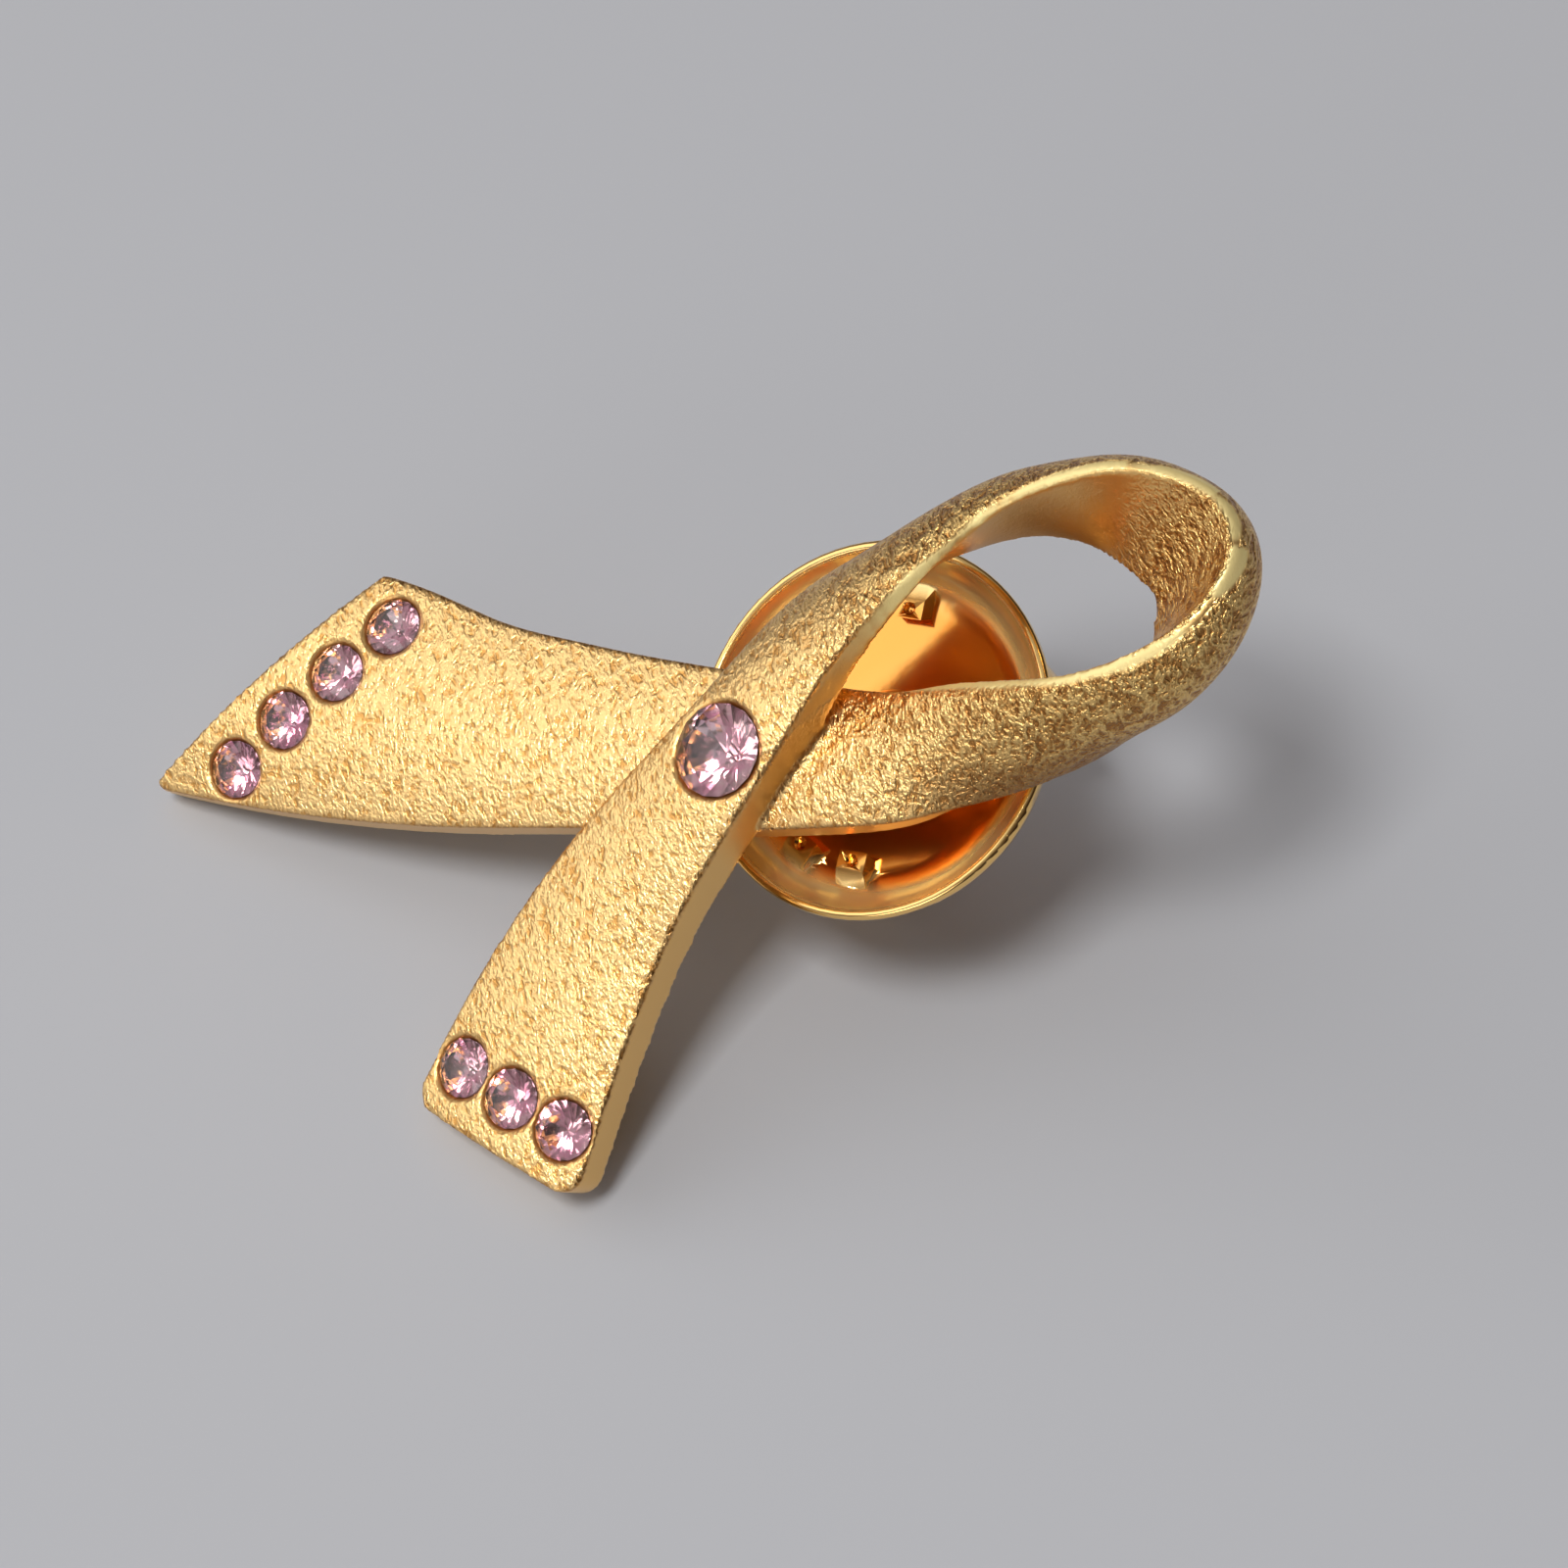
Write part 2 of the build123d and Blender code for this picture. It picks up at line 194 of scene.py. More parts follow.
run = smooth_run(RUN)
along = np.gradient(run[:, :3], axis=0)
along /= np.linalg.norm(along, axis=1, keepdims=True)
outward = np.cross([0, 0, 1], along)
outward /= np.linalg.norm(outward, axis=1, keepdims=True)
upward = np.cross(along, outward)
turn = np.radians(run[:, 4])[:, None]
band_across = upward * np.cos(turn) - outward * np.sin(turn)
band_face = outward * np.cos(turn) + upward * np.sin(turn)
print("the run has", len(run), "spots")

# %% [markdown]
# ## The ribbon's metal
# A cast and tumbled piece has no knife edges. The exact solid is copied, and the very point of its left tail
# is cut off square, as a polisher blunts it. The whole is then rebuilt in even squares of little more than
# a tenth of a millimetre and smoothed three times, which rounds its edges as tumbling does. The squares also
# give enough points to carry the finish.

# %% Rebuild the ribbon's skin
TIP_CUT = 0.25 * MM
TIP_RIGHT = -0.85
TIP_UP = -0.53
SKIN_SQUARE = 0.115 * MM
SKIN_ROUNDS = 3

ribbon = copy_of("ribbon", "ribbon_metal")
corner = min((vertex.co for vertex in ribbon.data.vertices), key=camera_right.dot).copy()
tip_way = camera_right * TIP_RIGHT + camera_up * TIP_UP
bpy.ops.object.mode_set(mode="EDIT")
bpy.ops.mesh.select_all(action="SELECT")
bpy.ops.mesh.bisect(plane_co=corner - tip_way * TIP_CUT, plane_no=tip_way, use_fill=True, clear_outer=True)
bpy.ops.object.mode_set(mode="OBJECT")
apply_modifier(ribbon, "REMESH", mode="VOXEL", voxel_size=SKIN_SQUARE, adaptivity=0)
apply_modifier(ribbon, "SMOOTH", factor=0.5, iterations=SKIN_ROUNDS)
tell(ribbon)

# %% [markdown]
# ## Where the stones sit
# Each stone of the frame tells where its seat is: its table is its largest flat, the way out of the table is
# the stone's axis, and its girdle is the widest ring around that axis.

# %% Read the stones' places
CROWN_ANGLE = radians(33)
TABLE_SHARE = 0.56
TABLE_HEIGHT = (1 - TABLE_SHARE) * tan(CROWN_ANGLE)
SAME_WAY = 0.9999


def stone_place(node):
    """A stone's axis, the middle of its girdle's top and its radius, in millimetres of the pin's frame."""
    mesh = frame["nodes"][node].data
    turned = np.array(PIN.to_3x3())
    points = np.array([vertex.co[:] for vertex in mesh.vertices])
    points = (points - np.array(PIN.translation)) @ turned / MM
    facets = np.array([face.normal[:] for face in mesh.polygons]) @ turned
    areas = np.array([face.area for face in mesh.polygons])
    shared = ((facets @ facets.T) > SAME_WAY) @ areas
    axis = facets[shared.argmax()]
    heights = points @ axis
    flat = points - heights[:, None] * axis
    beside = np.cross(axis, [1, 0, 0])
    beside /= np.linalg.norm(beside)
    centre = np.zeros(3)
    for way in (beside, np.cross(axis, beside)):
        reach = flat @ way
        centre += way * (reach.max() + reach.min()) / 2
    radius = np.linalg.norm(flat - centre, axis=1).max()
    girdle = centre + axis * (heights.max() - TABLE_HEIGHT * radius)
    return {"node": node, "axis": axis, "girdle": girdle, "radius": radius}


seats = [stone_place(node) for node in frame["nodes"] if "stone" in node]
for seat in seats:
    print(seat["node"], "is", round(2 * seat["radius"], 2), "mm across")

# %% [markdown]
# ## Marks on the metal
# Values painted on every point of the metal say what it is there. "wrinkled" is the rough face. The rim of
# the loop and the lips round the stones are smooth, and one mark paints them paler as a painted highlight;
# another paints the wall of each seat darker as painted shade. "crisp" grows towards the loop, where the
# wrinkles are deeper and their hollows are painted darker as painted shade. "shade" is the half of the loop's
# face that lies away from its rim, painted darker as painted shade, and the last mark is the rounded line
# where a tail's face turns down into its side, painted darker as painted shade too.
#
# Each mark rises between two values, which are kept here as pairs. A turn is 1 where the metal looks
# straight at the direction that is asked for, a reach is a share of the band's half width, and the rest are
# millimetres of the pin's frame.

# %% Helpers for marks
BATCH = 5000


def pin_points(thing):
    """Every vertex and its normal in the pin's own frame, in millimetres."""
    mesh = thing.data
    places = np.empty(len(mesh.vertices) * 3)
    mesh.vertices.foreach_get("co", places)
    normals = np.empty(len(mesh.vertices) * 3)
    mesh.vertex_normals.foreach_get("vector", normals)
    turned = np.array(PIN.to_3x3())
    places = (places.reshape(-1, 3) - np.array(PIN.translation)) @ turned / MM
    return places, normals.reshape(-1, 3) @ turned


def nearest_spot(places):
    """For each place the number of the nearest spot of the run."""
    nearest = np.empty(len(places), dtype=int)
    for first in range(0, len(places), BATCH):
        part = places[first:first + BATCH]
        nearest[first:first + BATCH] = ((part[:, None] - run[None, :, :3]) ** 2).sum(axis=2).argmin(axis=1)
    return nearest


def step(values, low, high):
    """Rises smoothly from 0 at low to 1 at high."""
    share = np.clip((values - low) / (high - low), 0, 1)
    return share * share * (3 - 2 * share)


def add_mask(thing, name, values):
    """Keeps one number for every vertex, under a name that a material can read."""
    attribute = thing.data.attributes.new(name, "FLOAT", "POINT")
    attribute.data.foreach_set("value", values.astype(np.float32))


# %% Mark the ribbon
LOOP_ALONG = (1.0, 3.5)
RIM_REACH = (0.93, 0.97)
RIM_TURN = (0.6, 0.85)
POST_DEPTH = (-0.6, -0.5)
POST_AROUND = 1.2
OUTER_TURN = (0.1, 0.35)
INNER_TURN = (0.3, 0.65)
INNER_ALONG = (8.5, 10.5)
INNER_ACROSS = (-2.5, -0.5)
CRISP_ALONG = (-3.0, 7.0)
SHADE_REACH = (-0.1, 0.95)
EDGE_TURN = (0.15, 0.35)
EDGE_FADE = (-0.75, -0.5)
LIP_WIDTH = 0.18
LIP_HIGHLIGHT = 0.2
WELL_AWAY = (0.02, 0.13)

places, normals = pin_points(ribbon)
spot = nearest_spot(places)
facing = (normals * band_face[spot]).sum(axis=1)
sideways = (normals * band_across[spot]).sum(axis=1)
reach = ((places - run[spot, :3]) * band_across[spot]).sum(axis=1) / (run[spot, 3] / 2)
in_loop = step(places[:, 1], *LOOP_ALONG)
rim = step(reach, *RIM_REACH) * step(sideways, *RIM_TURN) * in_loop
post_skin = step(-places[:, 2], *POST_DEPTH) * (np.hypot(places[:, 0], places[:, 1]) < POST_AROUND)
outer = step(facing, *OUTER_TURN)
inner = step(-facing, *INNER_TURN) * step(places[:, 1], *INNER_ALONG) * step(places[:, 0], *INNER_ACROSS)
wrinkled = np.maximum(outer, inner) * (1 - rim) * (1 - post_skin)
lip = np.zeros(len(places))
well_shade = np.zeros(len(places))
# Round each seat, a lip is painted paler as a painted highlight and the seat's wall darker as painted shade.
for seat in seats:
    offset = places - seat["girdle"]
    height = offset @ seat["axis"]
    away = np.linalg.norm(offset - height[:, None] * seat["axis"], axis=1) - seat["radius"]
    here = height > -seat["radius"]
    lip = np.maximum(lip, (1 - step(away, LIP_WIDTH / 2, LIP_WIDTH)) * here)
    well_shade = np.maximum(well_shade, (1 - step(away, *WELL_AWAY)) * here)
# The rounded line where a tail's face turns down, to be painted darker as painted shade.
edge_shade = step(facing, *EDGE_TURN) * step(-facing, *EDGE_FADE)
add_mask(ribbon, "wrinkled", wrinkled * (1 - lip))
# The loop's rim and the lips round the stones get a painted highlight.
add_mask(ribbon, "painted_highlight", np.maximum(rim, LIP_HIGHLIGHT * lip))
# crisp deepens the relief, and it also darkens the hollows of the wrinkles as painted shade.
add_mask(ribbon, "crisp", step(places[:, 1], *CRISP_ALONG))
# The half of the loop's face away from its rim gets painted shade.
add_mask(ribbon, "shade", in_loop * step(-reach, *SHADE_REACH) * outer)
# The walls of the seats get painted shade.
add_mask(ribbon, "well_shade", well_shade)
# The rounded edges of the tails get painted shade.
add_mask(ribbon, "edge_shade", edge_shade * (1 - rim) * (1 - in_loop))
for name, share in (("wrinkled", wrinkled), ("rim", rim)):
    print(name, "share", round(float((share > 0.5).mean()), 2))

# %% [markdown]
# ## Gold
# Matte gold isn't yellow paint. It is a metal that only reflects, and its wrinkles scatter that reflection
# into small bright and dark flecks. The wrinkles are one shader node group, because the clutch has a
# trace of them too: contour lines of a soft noise give short worm-like ridges, and a finer noise breaks
# them up.


# %% Node helpers
def new_group(name, inputs, outputs):
    """A shader node group with its sockets, and its input and output nodes."""
    group = bpy.data.node_groups.new(name, "ShaderNodeTree")
    for socket, kind, default in inputs:
        made = group.interface.new_socket(socket, in_out="INPUT", socket_type=kind)
        if default is not None:
            made.default_value = default
    for socket, kind in outputs:
        group.interface.new_socket(socket, in_out="OUTPUT", socket_type=kind)
    return group, group.nodes.new("NodeGroupInput"), group.nodes.new("NodeGroupOutput")


def add_math(tree, operation, *values):
    """A Math node whose inputs are sockets or plain numbers. Returns its output."""
    node = tree.nodes.new("ShaderNodeMath")
    node.operation = operation
    for index, value in enumerate(values):
        if isinstance(value, (int, float)):
            node.inputs[index].default_value = value
        else:
            tree.links.new(value, node.inputs[index])
    return node.outputs[0]


def add_noise(tree, vector, scale, detail, distortion=0.0):
    """A noise over a vector, whose scale is a socket or a plain number. Returns its value."""
    node = tree.nodes.new("ShaderNodeTexNoise")
    node.inputs["Detail"].default_value = detail
    node.inputs["Distortion"].default_value = distortion
    tree.links.new(vector, node.inputs["Vector"])
    if isinstance(scale, (int, float)):
        node.inputs["Scale"].default_value = scale
    else:
        tree.links.new(scale, node.inputs["Scale"])
    return node.outputs["Fac"]


# %% Wrinkles as a node group
LAYER_SCALES = (1.0, 1.7)
LAYER_SHARE = 0.25
FINE_SCALE = 5.0
PATCH_SCALE = 0.2

wrinkles, wrinkles_in, wrinkles_out = new_group(
    "wrinkles",
    [
        ("Vector", "NodeSocketVector", None),
        ("Scale", "NodeSocketFloat", 2000.0),
        ("Lines", "NodeSocketFloat", 3.0),
    ],
    [("Height", "NodeSocketFloat"), ("Patches", "NodeSocketFloat")],
)
place = wrinkles_in.outputs["Vector"]
scale = wrinkles_in.outputs["Scale"]
layers = []
for layer_scale in LAYER_SCALES:
    layer_size = add_math(wrinkles, "MULTIPLY", scale, layer_scale)
    soft = add_noise(wrinkles, place, layer_size, detail=1.0, distortion=0.5)
    phase = add_math(wrinkles, "MULTIPLY", soft, wrinkles_in.outputs["Lines"])
    layers.append(add_math(wrinkles, "SINE", add_math(wrinkles, "MULTIPLY", phase, 2 * pi)))
fine = add_noise(wrinkles, place, add_math(wrinkles, "MULTIPLY", scale, FINE_SCALE), detail=2.0)
lines = add_math(wrinkles, "MULTIPLY", add_math(wrinkles, "ADD", *layers), LAYER_SHARE)
height = add_math(wrinkles, "ADD", lines, fine)
wrinkles.links.new(height, wrinkles_out.inputs["Height"])
patches = add_noise(wrinkles, place, add_math(wrinkles, "MULTIPLY", scale, PATCH_SCALE), detail=3.0)
wrinkles.links.new(patches, wrinkles_out.inputs["Patches"])
print("group", wrinkles.name, "has", len(wrinkles.nodes), "nodes")


# %% Material helpers
def new_material(name):
    """A material with its Principled shader and the object's own coordinates."""
    material = bpy.data.materials.new(name)
    material.use_nodes = True
    tree = material.node_tree
    shader = tree.nodes["Principled BSDF"]
    coordinates = tree.nodes.new("ShaderNodeTexCoord").outputs["Object"]
    return material, tree, shader, coordinates


def use_group(tree, group, vector, **values):
    """A group node over a vector, with plain numbers for its other inputs."""
    node = tree.nodes.new("ShaderNodeGroup")
    node.node_tree = group
    tree.links.new(vector, node.inputs["Vector"])
    for name, value in values.items():
        node.inputs[name].default_value = value
    return node


def ramp(tree, value, stops):
    """A colour ramp over a value, from (position, colour) stops."""
    node = tree.nodes.new("ShaderNodeValToRGB")
    for index, (position, colour) in enumerate(stops):
        element = node.color_ramp.elements[index] if index < 2 else node.color_ramp.elements.new(position)
        element.position = position
        element.color = (*colour, 1)
    tree.links.new(value, node.inputs["Fac"])
    return node.outputs["Color"]


def read_mask(tree, name):
    """A mark that was kept on the vertices, as a number from 0 to 1."""
    node = tree.nodes.new("ShaderNodeAttribute")
    node.attribute_name = name
    return node.outputs["Fac"]


def mix(tree, share, first, second):
    """Mixes two colours by a share."""
    node = tree.nodes.new("ShaderNodeMix")
    node.data_type = "RGBA"
    tree.links.new(share, node.inputs["Factor"])
    for socket, value in ((node.inputs[6], first), (node.inputs[7], second)):
        if isinstance(value, tuple):
            socket.default_value = (*value, 1)
        else:
            tree.links.new(value, socket)
    return node.outputs[2]


def blend_values(tree, share, low, high):
    """A number that goes from low to high with a share."""
    node = tree.nodes.new("ShaderNodeMapRange")
    tree.links.new(share, node.inputs["Value"])
    node.inputs["To Min"].default_value = low
    node.inputs["To Max"].default_value = high
    return node.outputs["Result"]


def add_bump(tree, shader, height, strength, distance):
    """Turns a height into the shader's normal."""
    node = tree.nodes.new("ShaderNodeBump")
    node.inputs["Strength"].default_value = strength
    node.inputs["Distance"].default_value = distance
    tree.links.new(height, node.inputs["Height"])
    tree.links.new(node.outputs["Normal"], shader.inputs["Normal"])


# %% [markdown]
# The ribbon's gold is mixed from the marks, one after another. The hollows of the wrinkles are painted a
# deeper colour than their crests, as painted shade: light that bounces between two gold walls turns redder
# each time.
# The walls of the seats, the rounded edges of the tails and the side of the loop away from its rim are tinted
# brown as painted shade.

# %% Matte gold for the ribbon
GRAIN_STRETCH = (1.2, 0.65, 1.0)
GRAIN_SCALE = 2300.0
GRAIN_LINES = 2.6
# The dark first stops of both ramps paint shade into the hollows of the wrinkles, and the crisp ramp is
# darker still, as painted shade on the loop.
SOFT_GOLD = [(0.2, (0.76, 0.39, 0.11)), (0.6, (1.0, 0.66, 0.27))]
CRISP_GOLD = [(0.2, (0.42, 0.19, 0.05)), (0.5, (0.63, 0.34, 0.10)), (0.85, (0.93, 0.62, 0.23))]
SMOOTH_GOLD = (0.93, 0.58, 0.21)
# Paler gold for the rim and the lips, a painted highlight.
HIGHLIGHT_GOLD = (1.0, 0.80, 0.34)
# Darker gold for the walls of the seats, a painted shade.
WELL_SHADE_GOLD = (0.62, 0.24, 0.06)
# Both tints are painted shade: on the rounded edges of the tails and on the loop's side away from its rim.
TINTS = [
    # mark, share, colour
    ("edge_shade", 0.8, (0.45, 0.19, 0.05)),
    ("shade", 0.75, (0.30, 0.13, 0.04)),
]
HIGHLIGHT_ROUGHER = 0.06
GRAIN_DEPTH = 0.045 * MM

matte_gold, tree, shader, coordinates = new_material("matte_gold")
stretch = tree.nodes.new("ShaderNodeMapping")
stretch.inputs["Scale"].default_value = GRAIN_STRETCH
tree.links.new(coordinates, stretch.inputs["Vector"])
grain = use_group(tree, wrinkles, stretch.outputs["Vector"], Scale=GRAIN_SCALE, Lines=GRAIN_LINES)
wrinkled = read_mask(tree, "wrinkled")
painted_highlight = read_mask(tree, "painted_highlight")
crisp = read_mask(tree, "crisp")
soft_colour = ramp(tree, grain.outputs["Height"], SOFT_GOLD)
face_colour = mix(tree, crisp, soft_colour, ramp(tree, grain.outputs["Height"], CRISP_GOLD))
# The rim and the lips are painted paler here, as a painted highlight.
smooth_colour = mix(tree, painted_highlight, SMOOTH_GOLD, HIGHLIGHT_GOLD)
colour = mix(tree, wrinkled, smooth_colour, face_colour)
# The tints paint shade on the tails' edges and on the loop's side away from its rim.
for mark, share, tint in TINTS:
    colour = mix(tree, add_math(tree, "MULTIPLY", read_mask(tree, mark), share), colour, tint)
# The walls of the seats are painted darker here, as painted shade.
colour = mix(tree, read_mask(tree, "well_shade"), colour, WELL_SHADE_GOLD)
tree.links.new(colour, shader.inputs["Base Color"])
rough = blend_values(tree, grain.outputs["Patches"], low=0.27, high=0.37)
rough = add_math(tree, "ADD", rough, add_math(tree, "MULTIPLY", painted_highlight, HIGHLIGHT_ROUGHER))
tree.links.new(rough, shader.inputs["Roughness"])
# Less metal on the rim and the lips makes their painted highlight diffuse.
tree.links.new(blend_values(tree, painted_highlight, low=1.0, high=0.35), shader.inputs["Metallic"])
relief = add_math(tree, "MULTIPLY", grain.outputs["Height"], blend_values(tree, wrinkled, low=0.05, high=1.0))
relief = add_math(tree, "MULTIPLY", relief, blend_values(tree, crisp, low=0.65, high=1.8))
add_bump(tree, shader, relief, strength=1.0, distance=GRAIN_DEPTH)
print("matte gold has", len(tree.nodes), "nodes")

# %% Dress the ribbon
ribbon.data.materials.clear()
ribbon.data.materials.append(matte_gold)
make_active(ribbon)
bpy.ops.object.shade_smooth()
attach(ribbon, "pin")
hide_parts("ribbon")

# %% [markdown]
# ## The clutch
# The clutch is stamped from sheet brass and plated, and it is far brighter than the ribbon: its dish mirrors
# the ribbon's underside and itself, which makes it glow orange, and its floor is painted deeper orange as
# painted shade. The dish's wall is a little duller than its floor and painted paler, as a painted reflection.
# A mirror shows every flat of a mesh, so each sheet is copied, its loose triangles are joined, those of one
# flat are melted into one face, and its curves are shaded as one surface.

# %% Polished gold
HAZE_SCALE = 350.0
HAZE_LINES = 1.0
HAZE_DEPTH = 0.02 * MM
BRUSHED_ROUGHER = 0.14
PLATED_GOLD = [(0.3, (0.96, 0.60, 0.20)), (0.7, (0.99, 0.66, 0.25))]
# A deeper orange for the dish's floor, painted shade under the ribbon.
DISH_SHADE_GOLD = (0.85, 0.38, 0.08)
# A paler gold for the dish's wall, a painted reflection of the bright room.
WALL_SHEEN_GOLD = (1.0, 0.76, 0.34)

polished_gold, tree, shader, coordinates = new_material("polished_gold")
haze = use_group(tree, wrinkles, coordinates, Scale=HAZE_SCALE, Lines=HAZE_LINES)
colour = ramp(tree, haze.outputs["Patches"], PLATED_GOLD)
# The dish's floor is painted deeper orange here, as painted shade.
colour = mix(tree, read_mask(tree, "dish"), colour, DISH_SHADE_GOLD)
# The dish's wall is rougher, and it is painted paler and less metallic as a painted reflection.
brushed_and_sheen = read_mask(tree, "brushed_and_sheen")
colour = mix(tree, brushed_and_sheen, colour, WALL_SHEEN_GOLD)
tree.links.new(colour, shader.inputs["Base Color"])
rough = blend_values(tree, haze.outputs["Patches"], low=0.1, high=0.18)
rough = add_math(tree, "ADD", rough, add_math(tree, "MULTIPLY", brushed_and_sheen, BRUSHED_ROUGHER))
tree.links.new(rough, shader.inputs["Roughness"])
tree.links.new(blend_values(tree, brushed_and_sheen, low=1.0, high=0.78), shader.inputs["Metallic"])
add_bump(tree, shader, haze.outputs["Height"], strength=0.2, distance=HAZE_DEPTH)
print("polished gold has", len(tree.nodes), "nodes")

# %% Dress the clutch
CREASES = {"clutch_plate": radians(20), "clutch_spring": radians(35)}
FLAT_WITHIN = radians(0.5)
DISH_END = (3.8, 4.8)
WALL_START = (4.3, 4.8)
WALL_END = (5.4, 5.6)

for node, crease in CREASES.items():
    sheet = copy_of(node, node + "_polished")
    sheet.data.materials.clear()
    sheet.data.materials.append(polished_gold)
    make_active(sheet)
    bpy.ops.object.mode_set(mode="EDIT")
    bpy.ops.mesh.select_all(action="SELECT")
    bpy.ops.mesh.dissolve_limited(angle_limit=FLAT_WITHIN)
    bpy.ops.object.mode_set(mode="OBJECT")
    bpy.ops.object.shade_smooth_by_angle(angle=crease)
    apply_modifier(sheet, "WEIGHTED_NORMAL", keep_sharp=True)
    places = pin_points(sheet)[0]
    radius = np.hypot(places[:, 0], places[:, 1])
    # The dish's floor gets painted shade.
    add_mask(sheet, "dish", 1 - step(radius, *DISH_END))
    # The dish's wall gets more roughness and a painted reflection.
    add_mask(sheet, "brushed_and_sheen", step(radius, *WALL_START) * (1 - step(radius, *WALL_END)))
    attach(sheet, "clutch")
    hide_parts(node)
    tell(sheet)

# %% [markdown]
# ## The stones
# Each stone is a round brilliant of pink glass with a foil behind it: light goes in through the table, is
# thrown back by the facets of the pavilion, and comes out in flashes. It is cut the way a real one is,
# from a plain sixteen-sided blank, one flat at a time, and then copied into every seat. Lengths are shares of
# the stone's radius, and a turn is counted in sixteenths of the way round.

# %% Cut one brilliant
SIXTEENTH = pi / 8
PAVILION_ANGLE = radians(40)
GIRDLE = 0.08
STAR_TIP = 0.74
LOWER_TIP = 0.25
CULET = -GIRDLE - tan(PAVILION_ANGLE)


def at(turn, radius, height):
    """A point of the stone at a turn, a radius and a height."""
    return Vector((cos(turn * SIXTEENTH) * radius, sin(turn * SIXTEENTH) * radius, height))


def cut_flat(first, second, third):
    """Cuts away all that lies outside the plane through three points, and closes the stone."""
    way_out = (second - first).cross(third - first)
    if way_out.dot(first - Vector((0, 0, CULET / 2))) < 0:
        way_out.negate()
    bpy.ops.mesh.select_all(action="SELECT")
    bpy.ops.mesh.bisect(plane_co=first, plane_no=way_out, use_fill=True, clear_outer=True)


def ridge(edge_height, angle, radius, way):
    """The height, between two main facets, of a point at a radius."""
    return edge_height + way * (1 - radius * cos(SIXTEENTH)) * tan(angle)


start_clean()
bpy.ops.mesh.primitive_cylinder_add(
    vertices=16, radius=1, depth=TABLE_HEIGHT - CULET, location=(0, 0, (TABLE_HEIGHT + CULET) / 2)
)
brilliant = bpy.context.active_object
bpy.ops.object.transform_apply(location=True)
bpy.ops.object.mode_set(mode="EDIT")
outside = 1 / cos(SIXTEENTH)
for main in range(0, 16, 2):
    cut_flat(at(main - 1, outside, 0), at(main + 1, outside, 0), at(main, TABLE_SHARE, TABLE_HEIGHT))
    cut_flat(at(main - 1, outside, -GIRDLE), at(main + 1, outside, -GIRDLE), at(main, 0, CULET))
for star in range(1, 16, 2):
    tip = at(star, STAR_TIP, ridge(0, CROWN_ANGLE, STAR_TIP, 1))
    low_tip = at(star, LOWER_TIP, ridge(-GIRDLE, PAVILION_ANGLE, LOWER_TIP, -1))
    cut_flat(at(star - 1, TABLE_SHARE, TABLE_HEIGHT), at(star + 1, TABLE_SHARE, TABLE_HEIGHT), tip)
    for side in (-1, 1):
        cut_flat(at(star, 1, 0), at(star + side, 1, 0), tip)
        cut_flat(at(star, 1, -GIRDLE), at(star + side, 1, -GIRDLE), low_tip)
bpy.ops.object.mode_set(mode="OBJECT")
tell(brilliant)

# %% Pink glass and its foil
GLASS_PINK = [(0.4, (1.0, 0.87, 0.91)), (0.6, (1.0, 0.92, 0.91))]
FOIL_PINK = [(0.35, (1.0, 0.66, 0.78)), (0.65, (1.0, 0.87, 0.86))]

pink_stone, tree, shader, coordinates = new_material("pink_stone")
tint = ramp(tree, add_noise(tree, coordinates, scale=700.0, detail=1.0), GLASS_PINK)
tree.links.new(tint, shader.inputs["Base Color"])
shader.inputs["Transmission Weight"].default_value = 1.0
shader.inputs["Roughness"].default_value = 0.0
shader.inputs["IOR"].default_value = 1.56

foil, tree, shader, coordinates = new_material("stone_foil")
tint = ramp(tree, add_noise(tree, coordinates, scale=1500.0, detail=2.0), FOIL_PINK)
tree.links.new(tint, shader.inputs["Base Color"])
shader.inputs["Metallic"].default_value = 1.0
shader.inputs["Roughness"].default_value = 0.1
print("made", pink_stone.name, "and", foil.name)

# %% Set a stone in every seat
FOIL_FACES_DOWN = -0.1
TURN_EACH = 0.9

brilliant.data.materials.append(pink_stone)
brilliant.data.materials.append(foil)
for face in brilliant.data.polygons:
    face.use_smooth = False
    face.material_index = 1 if face.normal.z < FOIL_FACES_DOWN else 0
for number, seat in enumerate(seats):
    stone = bpy.data.objects.new(seat["node"] + "_cut", brilliant.data.copy())
    bpy.context.collection.objects.link(stone)
    axis = Vector(seat["axis"])
    turned = axis.to_track_quat("Z", "Y").to_matrix() @ Matrix.Rotation(TURN_EACH * number, 3, "Z")
    place = (turned * seat["radius"]).to_4x4()
    place.translation = Vector(seat["girdle"])
    stone.data.transform(PIN @ Matrix.Scale(MM, 4) @ place)
    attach(stone, "pin")
    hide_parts(seat["node"])
bpy.data.objects.remove(brilliant)
print(len(seats), "stones are set")

# %% [markdown]
# ## Floor and light
# The pin lies on a plain pale board. A soft lamp stands almost overhead, a little to the picture's lower
# left, a broad window on the left lights the gold's faces, and a low doorway at the front left reaches the
# walls that turn towards the camera. The rest of the room is dim, which is what makes metal look like metal.

# %% The floor
FLOOR_GREY = (0.53, 0.54, 0.565, 1)

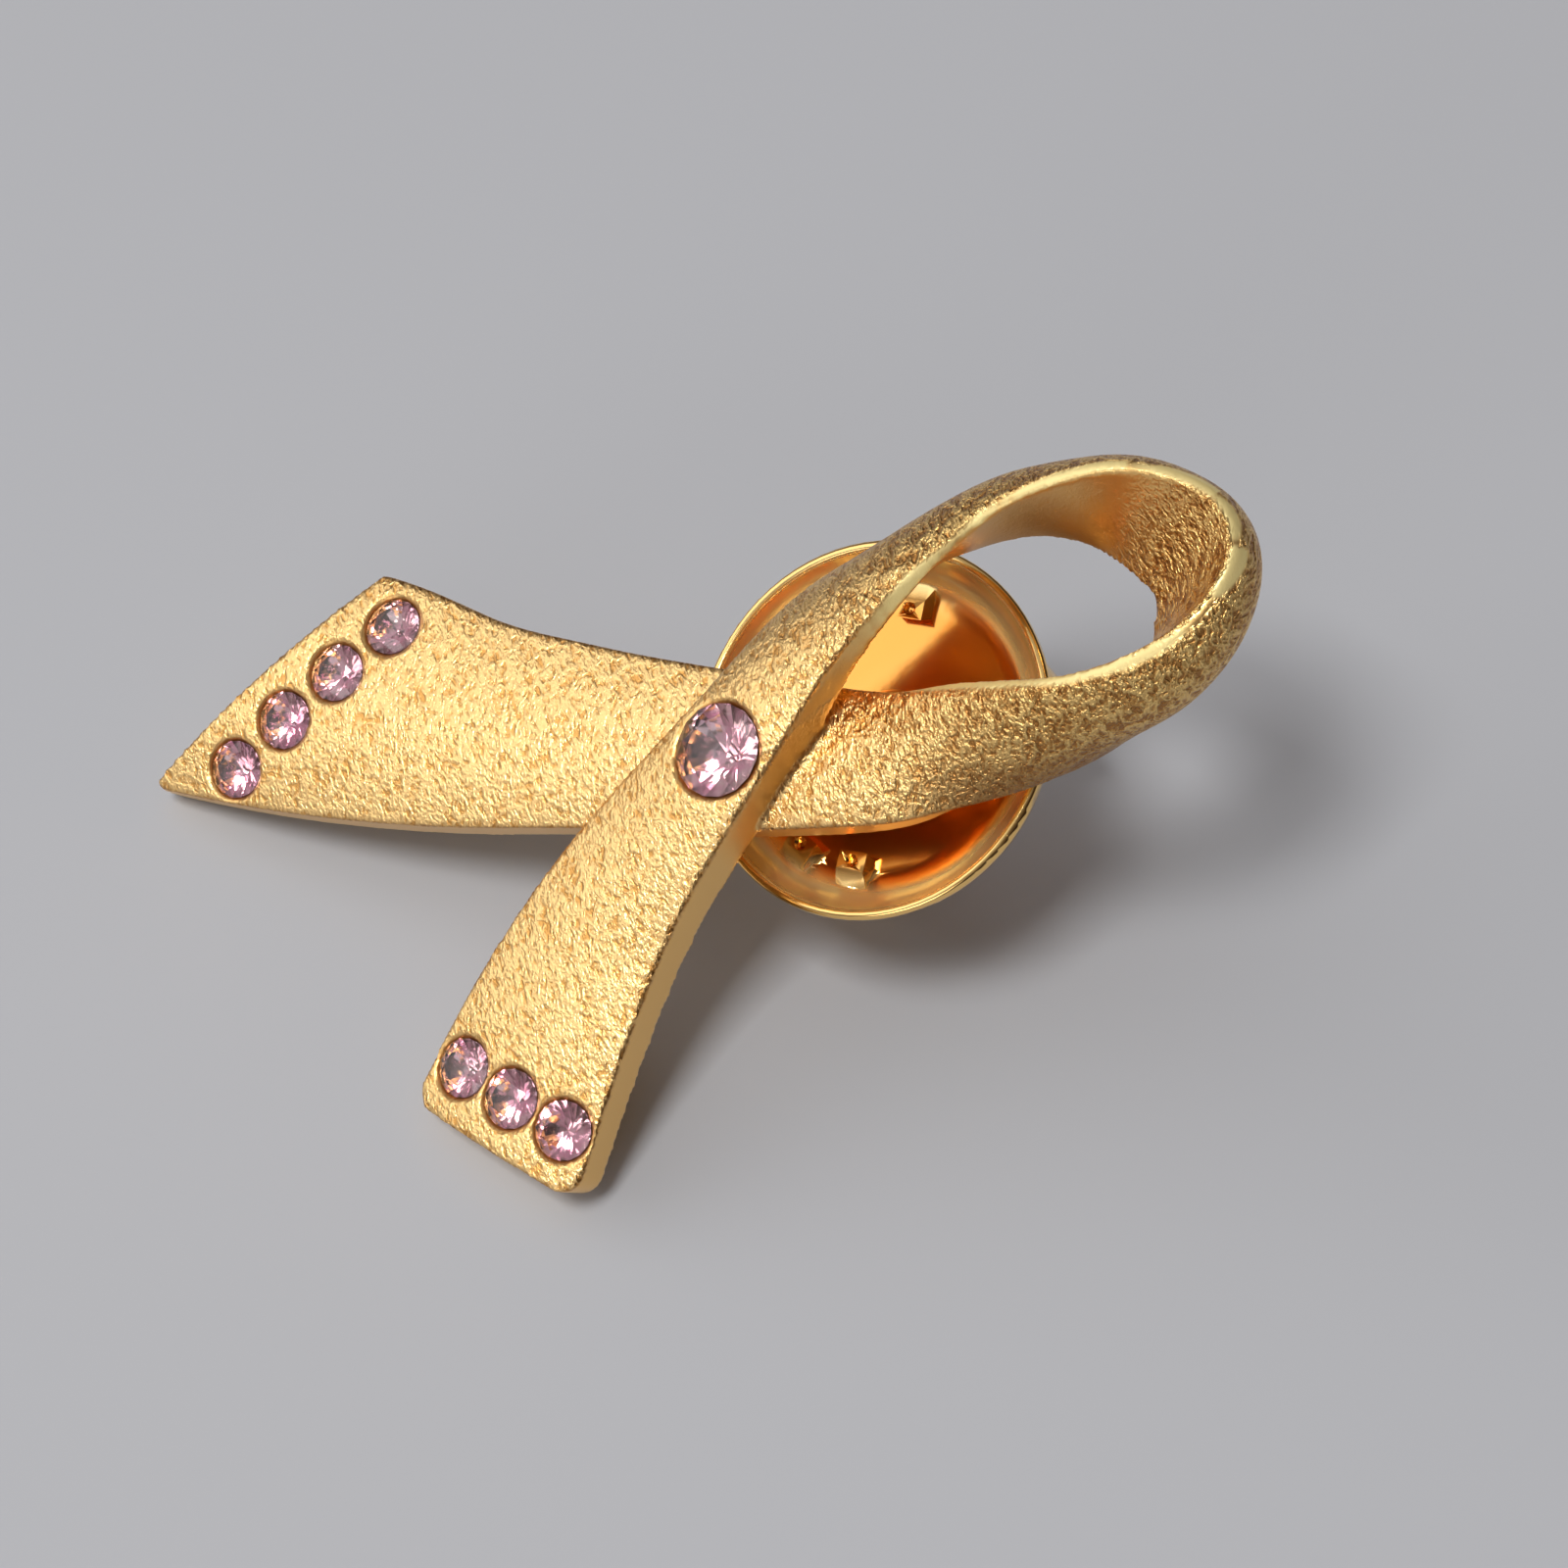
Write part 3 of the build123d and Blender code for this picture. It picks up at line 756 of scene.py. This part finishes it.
start_clean()
bpy.ops.mesh.primitive_plane_add(size=3.0, location=(0, 0, 0))
floor = bpy.context.active_object
floor.name = "floor"
floor_finish, tree, shader, coordinates = new_material("pale_board")
shader.inputs["Base Color"].default_value = FLOOR_GREY
shader.inputs["Roughness"].default_value = 0.7
shader.inputs["Specular IOR Level"].default_value = 0.3
floor.data.materials.append(floor_finish)
print("the floor is", round(floor.dimensions.x, 1), "m wide")

# %% Lights
LIGHTS = [
    # name, right, away, up, size, brightness
    ("key", -0.168, -0.214, 0.648, (0.18, 0.18), 24.0),
    ("window", -1.0, 0.15, 0.62, (1.2, 0.82), 1.16),
    ("doorway", -0.55, -0.95, 0.36, (0.6, 0.3), 2.4),
]
picture_right = Vector((camera_right.x, camera_right.y, 0)).normalized()
picture_away = Vector((0, 0, 1)).cross(picture_right)


def add_light(name, right, away, up, size, brightness):
    """A soft light aimed at the pin, from a place given in metres to the picture's right, away and up."""
    data = bpy.data.lights.new(name, "AREA")
    data.shape = "RECTANGLE"
    data.size, data.size_y = size
    data.energy = brightness * pi * size[0] * size[1]
    light = bpy.data.objects.new(name, data)
    bpy.context.collection.objects.link(light)
    light.location = picture_right * right + picture_away * away + Vector((0, 0, up))
    light.rotation_euler = (-light.location).to_track_quat("-Z", "Y").to_euler()


for lamp in LIGHTS:
    add_light(*lamp)
print(len(LIGHTS), "lights aim at the pin")

# %% [markdown]
# The room itself is a colour ramp round the pin: palest high on the picture's left, where the window is,
# and nearly black low on its right. That dark side is what gives the gold its deep tones.

# %% The dim room
ROOM_LIFT = 1.5
ROOM_STOPS = [(0.5, (0.03, 0.02, 0.015)), (0.7, (0.13, 0.11, 0.10)), (0.93, (0.42, 0.41, 0.42))]
world = bpy.data.worlds.new("studio")
bpy.context.scene.world = world
world.use_nodes = True
room = world.node_tree
direction = room.nodes.new("ShaderNodeTexCoord").outputs["Generated"]
towards = room.nodes.new("ShaderNodeVectorMath")
towards.operation = "DOT_PRODUCT"
towards.inputs[1].default_value = (Vector((0, 0, ROOM_LIFT)) - picture_right).normalized()
room.links.new(direction, towards.inputs[0])
brightness = add_math(room, "MULTIPLY_ADD", towards.outputs["Value"], 0.5, 0.5)
room_colour = ramp(room, brightness, ROOM_STOPS)
room.links.new(room_colour, room.nodes["Background"].inputs["Color"])
print("the room goes through", len(ROOM_STOPS), "shades")
